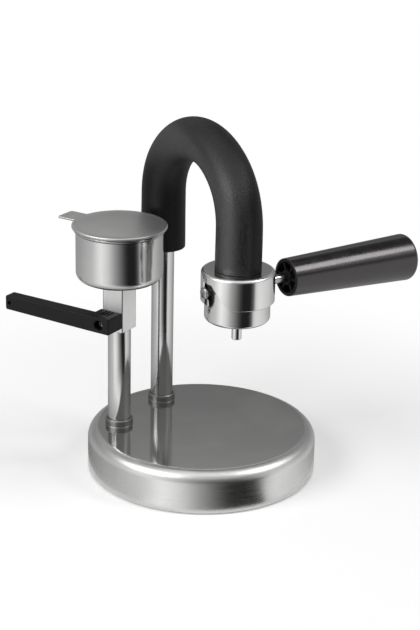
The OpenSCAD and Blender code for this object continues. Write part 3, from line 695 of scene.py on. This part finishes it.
pin_steel = pin_finish()
shank = [(0, pin_start, 0), (pin_r, pin_start, 0.1), (pin_r, pin_head, 0), (head_r, pin_head, 0.25)]
lock_section = eased([*shank, (head_r, collar_end - 0.2, 0.7), (1.4, collar_end, 0.4),
                      (0, collar_end, 0)], steps=7)
collar_section = eased([*shank, (head_r, collar_end, 0.6), (0, collar_end, 0)], steps=7)
stud_section = eased([(0, stud_start, 0), (stud_r, stud_start, 0.1), (stud_r, stud_end, 0.3),
                      (0, stud_end, 0)], steps=7)
add_piece("bayonet_pin", [turned(lock_section, pin_foot, 64, (1, 0, 0), (0, 0, 1), (0, -1, 0))],
          "holder", pin_steel, ["lock_pin"])
add_piece("handle_pin", [turned(collar_section, pin_foot, 64, (1, 0, 0), (0, 0, 1), (0, 1, 0)),
                         turned(stud_section, grip_foot, 64, (1, 0, 0), grip_up, grip_way)],
          "holder", pin_steel, ["handle_stud"])

# Handle: a tapered grip moulded in hard black plastic and polished. Its near end is cored out
# round a hub, with six ribs between the hub and the outer wall.

handle_far = handle_near + 96.0
handle_near_r = 12.15
handle_far_r = 15.5
hollow_end = handle_near + 11.0
hollow_r = 9.95
core_r = 4.7
stud_hole_r = stud_r + 0.05
stud_hole_end = stud_end + 0.2
rib_half = 0.8


def grip_finish():
    """Hard glossy plastic: near black, a little warm, with slow waves from the mould and fine
    polishing haze. The end towards the group, cored inside its wall, was never polished, and is
    painted darker there as shade."""
    material, place = start_finish("grip_plastic")
    along = place.parts()[1]
    off_axis = mapped(place, Location=(-group_x * MM, 0, -pin_z * MM), Scale=(1, 0, 1)).length()
    inner = (within(off_axis, hollow_r - 0.35, hollow_r + 0.45, 1.0, 0.0)
             * within(along, hollow_end + 1, hollow_end + 2, 1.0, 0.0))
    end_face = within(along, handle_near + 0.3, handle_near + 0.9, 1.0, 0.0)
    # Painted shade: the cored end and its end face are coloured darker; they are also rougher.
    cored = place.math("MAXIMUM", inner, end_face)
    cloud = between(noise(place, 60.0, 3.0), 0.3, 0.75)
    haze = between(noise(place, 900.0, 4.0), 0.35, 0.7)
    black = blended(cloud, (0.017, 0.0155, 0.0158), (0.023, 0.0212, 0.0216))
    end_finish(place, blended(cored, black, (0.002, 0.002, 0.002)),
               0.17 + 0.04 * cloud + 0.04 * haze + 0.5 * cored,
               bumped(noise(place, 240.0, 2.0), 0.03, depth=0.4),
               others={"Specular IOR Level": 0.65, "Specular Tint": (1.0, 0.94, 0.955, 1.0)})
    return material


grip_section = eased([
    (stud_hole_r, handle_near + 0.3, 0),
    (core_r, handle_near, 0.3),
    (core_r, hollow_end, 0.4),
    (hollow_r, hollow_end, 0.6),
    (hollow_r, handle_near, 0.5),
    (handle_near_r, handle_near, 0.8),
    (handle_far_r, handle_far, 2.4),
    (0, handle_far, 0),
    (0, stud_hole_end, 0),
    (stud_hole_r, stud_hole_end, 0)], steps=9)


def closing(ease, on_end, on_side):
    """Rings that close an end by a quarter circle: how far in from the end each lies, and how far
    it is tucked in. The first is shut to a point, the next lies on the end and the last on the
    side, each this far from the curve."""
    shut = 1e3
    curl = np.linspace(0, np.pi / 2, 5)
    inset = np.concatenate([[0, 0], ease * (1 - np.cos(curl)), [ease + on_side]])
    tuck = np.concatenate([[shut, ease + on_end], ease * (1 - np.sin(curl)), [0]])
    return inset, tuck


def boxed(low, high, ease, frame_of, corner=None):
    """A block with rounded edges: an eased rectangle across, carried up in rings that close in
    over the ends by a quarter circle. Its ends and place are given in its own three directions,
    and its upright edges may have a larger radius."""
    (x0, y0, z0), (x1, y1, z1) = low, high
    inset, tuck = closing(ease, on_end=0.2, on_side=0.2)
    heights = np.concatenate([z0 + inset, z1 - inset[::-1]])
    tucks = np.concatenate([tuck, tuck[::-1]])
    bend = corner or ease
    ring = eased([(x0, y0, bend), (x1, y0, bend), (x1, y1, bend), (x0, y1, bend)], steps=5)
    mid = np.array([(x0 + x1) / 2, (y0 + y1) / 2])
    half = np.array([(x1 - x0) / 2, (y1 - y0) / 2])
    near = np.clip(1 - tucks[:, None] / half[None], 0, 1)
    flat = mid + (ring - mid)[None] * near[:, None]
    rows = np.broadcast_to(heights[:, None, None], (*flat.shape[:2], 1))
    origin, x_way, y_way, z_way = (np.array(v, float) for v in frame_of)
    grid = origin + flat[:, :, :1] * x_way + flat[:, :, 1:] * y_way + rows * z_way
    return grid, False, True


ribs = []
for step in range(6):
    lean = math.radians(60 * step)
    spoke = math.cos(lean) * np.array([1, 0, 0]) + math.sin(lean) * np.array(grip_up)
    side = math.cos(lean) * np.array(grip_up) - math.sin(lean) * np.array([1, 0, 0])
    ribs.append(boxed((core_r - 0.4, -rib_half, handle_near + 1.2),
                      (hollow_r + 0.45, rib_half, hollow_end + 0.4), 0.25,
                      (grip_foot, spoke, side, grip_way)))
add_piece("handle_grip_body",
          [turned(grip_section, grip_foot, 160, (1, 0, 0), grip_up, grip_way), *ribs],
          "holder", grip_finish(), ["handle_grip"])

# Cock: a square bar of satin steel on the filling tube, bored for a ball, its two seats and the
# stem. Only the bar shows; the ball, seats, packing and stem inside keep their solids.

cock_turn = math.radians(25)
cock_x = (math.cos(cock_turn), math.sin(cock_turn), 0)
cock_y = (-math.sin(cock_turn), math.cos(cock_turn), 0)
cock_out = (math.sin(cock_turn), -math.cos(cock_turn), 0)
up_way = (0, 0, 1)
fill_foot = (*fill_axis, 0)
bar_frame = (fill_foot, cock_x, cock_y, up_way)
valve_half = 7.7
valve_foot = tube_high[2]
valve_head = solid("cup_washer")[0][2]


def bar_finish():
    """Bar brushed along its length: noise stretched upright, and a soft satin sheen. Its upright
    corners, at the largest distance across from both middle planes, carry a painted shade, dark."""
    material, place = start_finish("bar_steel")
    own = mapped(place, Rotation=(0, 0, -cock_turn),
                 Location=(-np.dot(fill_foot, cock_x) * MM, -np.dot(fill_foot, cock_y) * MM, 0))
    # Painted shade along the upright corners.
    near = [within(own.math("ABSOLUTE", side), valve_half - 0.75, valve_half - 0.35)
            for side in own.parts()[:2]]
    brushed = noise(mapped(place, Scale=(1, 1, 0.02)), 3000.0, 3.0)
    cloud = between(noise(place, 90.0, 3.0), 0.3, 0.75)
    streak = 0.4 * cloud + 0.6 * between(brushed, 0.35, 0.65)
    pale = blended(streak, (0.80, 0.80, 0.795), (0.90, 0.895, 0.885))
    end_finish(place, blended(near[0] * near[1], pale, (0.16, 0.16, 0.16)),
               0.50 + 0.04 * cloud + 0.05 * between(brushed, 0.3, 0.7), bumped(brushed, 0.10),
               metal=1.0)
    return material


add_piece("cock_bar", [boxed((-valve_half, -valve_half, valve_foot),
                             (valve_half, valve_half, valve_head), 0.4, bar_frame)],
          "stand", bar_finish(), ["valve_body"])


def seal_finish():
    """White slippery plastic, faintly cloudy."""
    material, place = start_finish("seal_plastic")
    cloud = between(noise(place, 300.0, 3.0), 0.3, 0.7)
    end_finish(place, blended(cloud, (0.76, 0.76, 0.73), (0.83, 0.83, 0.80)), 0.40 + 0.1 * cloud)
    return material


dress(seal_finish(), "lower_seat", "upper_seat", "stem_packing", "cup_washer")
dress(pin_steel, "valve_ball", "valve_stem")

# Lever: a black plastic lever on the stem's square end, thick at its hub and with three grooves
# on top of it. A cross-head screw deep in the hub holds it, and a small hole is near its tip.

ball_low, ball_high = solid("valve_ball")
pivot_z = 0.5 * (ball_low + ball_high)[2]
pivot = (*fill_axis, pivot_z)
hub_frame = (pivot, cock_x, up_way, cock_out)
lever_half = solid("valve_lever")[1][2] - pivot_z
lever_len = 75.2
hub_half = 8.0
hub_back = valve_half + 0.3
hub_front = hub_back + 15.6
arm_back = hub_front - 9.0
screw_seat = hub_front - 5.0


def lever_finish():
    """Black moulded plastic with a fine spark-eroded grain."""
    material, place = start_finish("lever_plastic")
    cloud = between(noise(place, 110.0, 3.0), 0.3, 0.75)
    grain = noise(place, 2300.0, 3.0)
    end_finish(place, blended(cloud, (0.0025, 0.0025, 0.003), (0.005, 0.005, 0.0055)),
               0.46 + 0.07 * cloud + 0.06 * between(grain, 0.3, 0.7), bumped(grain, 0.12),
               others={"Specular IOR Level": 0.22})
    return material


def lever_body():
    """Rounded rectangles along the lever, from the hub's free end to the tip. The height falls
    slowly from the hub to the tip, the back face steps out from the hub to the arm, and both
    ends close in by a quarter circle on the middle of the section."""
    ease = 0.8
    tip_ease = 1.5
    hub_in, hub_tuck = closing(ease, on_end=0.3, on_side=0.3)
    tip_in, tip_tuck = closing(tip_ease, on_end=0.3, on_side=0.4)
    step = -hub_half + np.array([0.4, 0.1, 0.0, -0.05, -0.3])
    arm = np.linspace(-hub_half - 4, -lever_len + 3.2, 12)
    middle = np.concatenate([[0.0], step, arm])
    x = np.concatenate([hub_half - hub_in, middle, tip_in[::-1] - lever_len])
    tuck = np.concatenate([hub_tuck, np.zeros(len(middle)), tip_tuck[::-1]])
    height = np.interp(x, [-lever_len, -hub_half], [lever_half - 0.5, lever_half])
    back = np.interp(x, [step[3], step[2]], [arm_back, hub_back])
    unit = 0.2
    ring = eased([(-1, -1, unit), (1, -1, unit), (1, 1, unit), (-1, 1, unit)], 6)
    side, bulge = np.sign(ring), (np.abs(ring) - 1) / unit * ease
    mid = 0.5 * (back + hub_front)
    half = np.stack([height, 0.5 * (hub_front - back)], 1)
    size = np.clip(half - tuck[:, None], 0, None)
    keep = np.clip(size / np.clip(half, 1e-6, None), 0, 1)
    spread = side[None] * size[:, None] + side[None] * bulge[None] * keep[:, None]
    up, out = spread[:, :, 0], mid[:, None] + spread[:, :, 1]
    grid = np.array(pivot) + x[:, None, None] * np.array(cock_x)
    grid = grid + up[:, :, None] * np.array(up_way) + out[:, :, None] * np.array(cock_out)
    return grid, False, True


def cut_away(piece, grids):
    """Takes the closed shapes given by these grids out of a piece and keeps the result."""
    cutter = add_piece("cutter", grids, "stand", piece.data.materials[0], [])
    cut = piece.modifiers.new("cut", "BOOLEAN")
    cut.object = cutter
    cut.operation = "DIFFERENCE"
    cut.solver = "EXACT"
    graph = bpy.context.evaluated_depsgraph_get()
    result = bpy.data.meshes.new_from_object(piece.evaluated_get(graph))
    piece.modifiers.clear()
    old, piece.data = piece.data, result
    result.name = piece.name
    result.set_sharp_from_angle(angle=crease)
    bpy.data.meshes.remove(old)
    spare = cutter.data
    bpy.data.objects.remove(cutter)
    bpy.data.meshes.remove(spare)


def drilled(start, radius, ease, bevel, past):
    """Section of a hole from its start out through the hub's front, widened there by an even bevel
    that ends a little past the front."""
    mouth, clear = hub_front + past, hub_front + 1
    return eased([(0, start, 0), (radius, start, ease), (radius, mouth - bevel, 0),
                  (radius + bevel, mouth, 0), (radius + bevel, clear, 0), (0, clear, 0)], steps=4)


lever = add_piece("cock_lever", [lever_body()], "cock", lever_finish(),
                  ["valve_lever"])
bore = drilled(screw_seat, radius=3.3, ease=0.3, bevel=0.5, past=0.2)
tip_bore = drilled(arm_back - 1, radius=1.3, ease=0, bevel=0.3, past=0.05)
tip_hole_in = 3.4
tip_place = tuple(np.array(pivot) - (lever_len - tip_hole_in) * np.array(cock_x))
groove_half, groove_depth, groove_pitch, groove_run = 0.75, 1.3, 2.4, 9.4
grooves = [boxed((x - groove_half, lever_half - groove_depth, hub_back - 0.6),
                 (x + groove_half, lever_half + 1, hub_back + groove_run), 0.2, hub_frame)
           for x in (-groove_pitch, 0.0, groove_pitch)]
cut_away(lever, [turned(bore, pivot, 64, *hub_frame[1:]),
                 turned(tip_bore, tip_place, 48, *hub_frame[1:]), *grooves])


def screw_finish():
    """Blackened steel, rubbed bright in small patches."""
    material, place = start_finish("screw_steel")
    rubbed = between(noise(place, 900.0, 3.0), 0.5, 0.75)
    end_finish(place, blended(rubbed, (0.10, 0.10, 0.105), (0.45, 0.45, 0.445)),
               0.38 - 0.14 * rubbed, metal=1.0)
    return material


screw_r, screw_head_r = 1.0, 2.6
screw_end, screw_top = screw_seat - 6, screw_seat + 2.0
slot_long, slot_half = 1.7, 0.4
screw_section = eased([(0, screw_end, 0), (screw_r, screw_end, 0.2), (screw_r, screw_seat, 0),
                       (screw_head_r, screw_seat, 0.15), (screw_head_r, screw_top - 0.4, 0.7),
                       (1.2, screw_top, 0.5), (0, screw_top, 0)], steps=6)
screw = add_piece("lever_screw_head", [turned(screw_section, pivot, 64, *hub_frame[1:])],
                  "cock", screw_finish(), ["lever_screw"])
for half_x, half_y in ((slot_long, slot_half), (slot_half, slot_long)):
    cut_away(screw, [boxed((-half_x, -half_y, screw_top - 1.0), (half_x, half_y, screw_top + 1.0),
                           0.1, hub_frame)])

# Filling cup: a round cup drawn from steel sheet with a rolled lip, satin outside, held down on
# the cock by a six-sided nipple over a white washer. The nipple keeps its solid.

cup_low, cup_high = solid("filling_cup")
cup_foot = cup_low[2]
cup_rim = cup_high[2]
cup_sheet = 1.0
cup_hole = 5.7
cup_round = 5.5
lip_r = 0.5 * (cup_high - cup_low)[0]
lip_foot = cup_rim - 1.8
cup_r = lip_r - 1.3
cup_in = cup_r - cup_sheet
# The cup's steel has painted shade under its rolled lip and under its lower corner.
cup_steel = turned_steel("cup_steel", fill_axis, 0.13, fine=1700.0, lines=0.02, tone=0.53,
                         shade_line=lip_foot - 0.1,
                         corner=(cup_r - cup_round, cup_foot + cup_round, cup_round))
cup_section = eased([
    (cup_hole, cup_foot, 0),
    (cup_r, cup_foot, cup_round),
    (cup_r, lip_foot, 0.2),
    (lip_r, lip_foot, 0.7),
    (lip_r, cup_rim, 0.7),
    (cup_in, cup_rim, 0.4),
    (cup_in, cup_foot + cup_sheet, cup_round - cup_sheet),
    (cup_hole, cup_foot + cup_sheet, 0)], steps=12)
add_piece("filling_cup_shell", [turned(cup_section, fill_foot, 208)], "stand", cup_steel,
          ["filling_cup"])
dress(turned_steel("nipple_steel", fill_axis, 0.22, lines=0.06, tone=0.58), "cup_nipple")

# Lid: a disc pressed from steel sheet, slightly domed, with a rolled rim that stands on the
# cup's lip, a ring that centres it inside, and a flat thumb tab over the lever.

lid_low, lid_high = solid("cup_lid")
lid_sheet = 0.9
dome_rise = 2.0
lid_flat = lid_high[2] - dome_rise
lid_under = lid_flat - lid_sheet
lid_seat = cup_rim + 0.02
lid_r = lid_high[1] - fill_axis[1]
rim_in = lid_r - 2.0
lid_ring = cup_r - 1.5
ring_in = lid_ring - lid_sheet
dome_r = (lid_ring ** 2 + dome_rise ** 2) / (2 * dome_rise)
tab_len, tab_half, tab_thick = 13.0, 7.5, 1.2


def dome(r, crown):
    """Cap of a ball: at distance r from the axis its height is the crown's less the ball's radius,
    plus the root of that radius squared less r squared."""
    return np.stack([r, crown - dome_r + np.sqrt(dome_r ** 2 - r ** 2)], 1)


rim = eased([
    (lid_ring + 0.1, lid_flat, 0),
    (lid_r, lid_flat, 0.85),
    (lid_r, lid_seat, 0.7),
    (rim_in, lid_seat, 0.2),
    (rim_in, lid_under, 0.2),
    (lid_ring, lid_under, 0.2),
    (lid_ring, lid_low[2], 0.3),
    (ring_in, lid_low[2], 0.3),
    (ring_in, lid_flat - 0.6, 0)], steps=7)
lid_section = np.concatenate([dome(np.linspace(0, lid_ring, 24), lid_high[2]), rim[2:-1],
                              dome(np.linspace(ring_in, 0, 24), lid_high[2] - lid_sheet)])
tab = boxed((-lid_r - tab_len, -tab_half, lid_seat), (-lid_r + 1.0, tab_half, cup_rim + tab_thick),
            0.35, bar_frame, corner=1.6)
# The lid's steel has painted shade where it sits on the cup's lip.
lid_steel = turned_steel("lid_steel", fill_axis, 0.43, fine=1500.0, lines=0.03, tone=0.54,
                         shade_line=cup_rim)
add_piece("cup_lid_pressing", [turned(lid_section, fill_foot, 208), tab], "lid",
          lid_steel, ["cup_lid"])

# Relief valve: a brass plug with a six-sided head in the boiler's back wall, its lock nut inside
# and a steel pin that is pressed to let the steam out. All three keep their solids.


def brass_finish():
    """Turned brass, a little dull and darker in patches."""
    material, place = start_finish("valve_brass")
    dull = between(noise(place, 240.0, 4.0), 0.3, 0.75)
    end_finish(place, blended(dull, (0.76, 0.55, 0.25), (0.60, 0.42, 0.19)), 0.24 + 0.12 * dull,
               bumped(noise(place, 2600.0, 2.0), 0.08), metal=1.0)
    return material


dress(brass_finish(), "relief_body", "relief_nut")
dress(pin_steel, "relief_pin")

# Studio: a pale floor that runs to white, a grey tent round the set that only glossy surfaces see,
# with light cloth to both sides of a dark gap, three softboxes, and the camera in its place.

white = (1, 1, 1, 1)


def seen_rays(start):
    """1 for what the camera, the metal and clear pieces see, 0 for light that spreads."""
    paths = [start.add("ShaderNodeLightPath", out=name)
             for name in ("Is Camera Ray", "Is Glossy Ray", "Is Transmission Ray")]
    return start.math("MINIMUM", paths[0] + paths[1] + paths[2], 1.0)


def set_mesh(name, points, faces, material):
    """A mesh of the studio, which is no piece of the object."""
    mesh = bpy.data.meshes.new(name)
    mesh.from_pydata(points, [], faces)
    mesh.materials.append(material)
    thing = placed(name, mesh)
    return thing


def floor_finish():
    """Pale matt floor. What is seen of it has a little glow, and runs to plain white away from
    the object, by the distance from it."""
    material, place = start_finish("pale_floor")
    away = between(place.length(), 0.12, 0.36)
    matt = place.add("ShaderNodeBsdfDiffuse", sockets={"Color": (0.84, 0.84, 0.84, 1)})
    glow = place.add("ShaderNodeEmission", sockets={"Color": white, "Strength": 0.27})
    lit = place.add("ShaderNodeAddShader", sockets={0: matt, 1: glow})
    plain = place.add("ShaderNodeEmission", sockets={"Color": white, "Strength": 1.0})
    run = place.add("ShaderNodeMixShader", sockets={0: away, 1: lit, 2: plain})
    both = place.add("ShaderNodeMixShader", sockets={0: seen_rays(place), 1: matt, 2: run})
    place.add("ShaderNodeOutputMaterial", sockets={"Surface": both})
    return material


floor_half, floor_z = 6, -0.0002
floor_corners = [(floor_half * x, floor_half * y, floor_z)
                 for x, y in ((-1, -1), (1, -1), (1, 1), (-1, 1))]
set_mesh("floor", floor_corners, [(0, 1, 2, 3)], floor_finish())

way_x, way_y = 0.8387, -0.5446
camera_way = math.atan2(way_y, way_x)
tent_r = 1.9
cloth = [(-180, 0.25), (-111, 0.60), (-72, 0.86), (-50, 1.40), (-32, 1.06), (-15, 0.52), (0, 0.22),
         (9, 0.08), (18, 0.02), (38, 0.02), (47, 0.14), (55, 0.95), (66, 1.10), (100, 0.88),
         (131, 0.55), (180, 0.25)]


def hill(value, start, full, fall, end):
    """0 outside start and end, 1 from full to fall, and an even slope on both sides."""
    return np.interp(value, [start, full, fall, end], [0, 1, 1, 0])


def tent():
    """Sheet round the set: along the floor from the boiler out to the tent's radius, then up in a
    quarter circle to a point over the set. Its grey follows the turn from the camera. Close to the
    boiler, whose wall mirrors the floor beside it, the greys are drawn together and turned. A
    little way up they go over to one dark grey, with a lighter band at twice the camera's height,
    a pale patch high over the camera and another beside the handle, and a darker one behind it."""
    floor_rows, raised_rows = 30, 24
    tent_in, over_floor = 0.08, 0.0006
    near_end, near_fade, near_middle, near_turn = 0.18, 0.04, 0.115, 13
    rise = np.linspace(0, np.pi / 2, raised_rows + 1)[1:]
    turn = np.linspace(-180, 180, 181)[None]
    reach = np.geomspace(tent_in, tent_r, floor_rows)
    out = np.concatenate([reach, np.full(raised_rows, tent_r)])[:, None]
    lift = np.concatenate([np.zeros(floor_rows), rise])[:, None]
    near = np.clip((near_end - out) / near_fade, 0, 1)
    drawn = 0.45 + 8 * (near_middle - out)
    shown = np.clip(turn + near * (drawn * turn - near_turn), -180, 180)
    height = np.degrees(lift)
    raised = np.interp(height, [12, 17], [0, 1])
    upper = np.interp(height, [23, 31, 38, 44, 52], [0.20, 0.45, 0.78, 0.78, 0.15])
    over_camera = hill(height, 48, 54, 64, 70) * hill(turn, -75, -45, 45, 75)
    over_handle = hill(height, 25, 30, 40, 46) * hill(turn, 50, 65, 105, 120)
    behind_handle = np.interp(height, [34, 42], [0, 1]) * hill(turn, 105, 125, 165, 178)
    upper = (upper + 0.6 * over_camera + 0.6 * over_handle) * (1 - 0.85 * behind_handle)
    grey = np.interp(shown, *np.array(cloth).T)
    grey = grey + (upper - grey) * raised
    way = camera_way + np.radians(turn)
    flat = out * np.cos(lift)
    points = np.stack([flat * np.cos(way), flat * np.sin(way),
                       over_floor + out * np.sin(lift) + 0 * way], -1)
    index = np.arange(grey.size).reshape(grey.shape)
    faces = np.stack([index[:-1, :-1], index[1:, :-1], index[1:, 1:], index[:-1, 1:]], -1)
    return points.reshape(-1, 3), faces.reshape(-1, 4), grey.ravel()


tent_cloth = bpy.data.materials.new("tent_cloth")
shade = emptied(tent_cloth).add("ShaderNodeAttribute", {"attribute_name": "grey"}, out="Fac")
flat = shade.add("ShaderNodeEmission", sockets={"Color": white, "Strength": shade})
shade.add("ShaderNodeOutputMaterial", sockets={"Surface": flat})
tent_points, tent_faces, tent_grey = tent()
sheet = set_mesh("grey_tent", tent_points.tolist(), tent_faces.tolist(), tent_cloth)
sheet.data.attributes.new("grey", "FLOAT", "POINT").data.foreach_set("value", tent_grey)
sheet.visible_camera = False
sheet.visible_diffuse = False
sheet.visible_shadow = False
sheet.visible_transmission = False


def softbox(name, place, aim, size, watts):
    """A rectangular lamp at its place, turned to its aim."""
    lamp = bpy.data.lights.new(name, "AREA")
    lamp.shape = "RECTANGLE"
    lamp.size, lamp.size_y = size
    lamp.energy = watts
    thing = placed(name, lamp)
    thing.location = place
    thing.rotation_mode = "QUATERNION"
    thing.rotation_quaternion = (Vector(aim) - Vector(place)).to_track_quat("-Z", "Y")


def around(turn, height, distance):
    """A place round the set, by its turn from the camera, its height angle and its distance."""
    way = camera_way + math.radians(turn)
    flat = distance * math.cos(math.radians(height))
    return (flat * math.cos(way), flat * math.sin(way), distance * math.sin(math.radians(height)))


softbox("left_softbox", around(-55, 39, 1.3), (0, 0, 0.12), (0.9, 0.5), 9.5)
softbox("top_softbox", (0.08, -0.05, 1.30), (0, 0, 0.10), (1.2, 1.2), 4.4)
softbox("right_softbox", around(80, 49, 1.3), (0.03, 0.08, 0.13), (0.5, 0.42), 4.8)

world = bpy.data.worlds.new("white_room")
bpy.context.scene.world = world
seen = seen_rays(emptied(world))
fill = seen.add("ShaderNodeBackground", sockets={"Color": white, "Strength": 0.09})
bright = seen.add("ShaderNodeBackground", sockets={"Color": white, "Strength": 1.0})
room = seen.add("ShaderNodeMixShader", sockets={0: seen, 1: fill, 2: bright})
seen.add("ShaderNodeOutputWorld", sockets={"Surface": room})
bpy.context.scene.view_settings.view_transform = "Standard"

camera_place = (0.8791, -0.5661, 0.4983)
tilt, roll = 0.3591976, 0.0213862
focal_px, picture_px = 1731, 630
right = np.array([-way_y, way_x, 0.0])
level = np.array([-way_x, -way_y, 0.0])
ahead = math.cos(tilt) * level - math.sin(tilt) * np.array(up_way)
above = math.sin(tilt) * level + math.cos(tilt) * np.array(up_way)
lens_right = math.cos(roll) * right + math.sin(roll) * above
lens_up = -math.sin(roll) * right + math.cos(roll) * above
lens = bpy.data.cameras.new("camera")
lens.sensor_width = 36.0
lens.lens = focal_px / picture_px * lens.sensor_width
camera = placed("camera", lens)
turning = np.eye(4)
turning[:3, 0], turning[:3, 1], turning[:3, 2] = lens_right, lens_up, -ahead
turning[:3, 3] = camera_place
camera.matrix_world = Matrix(turning.tolist())
bpy.context.scene.camera = camera
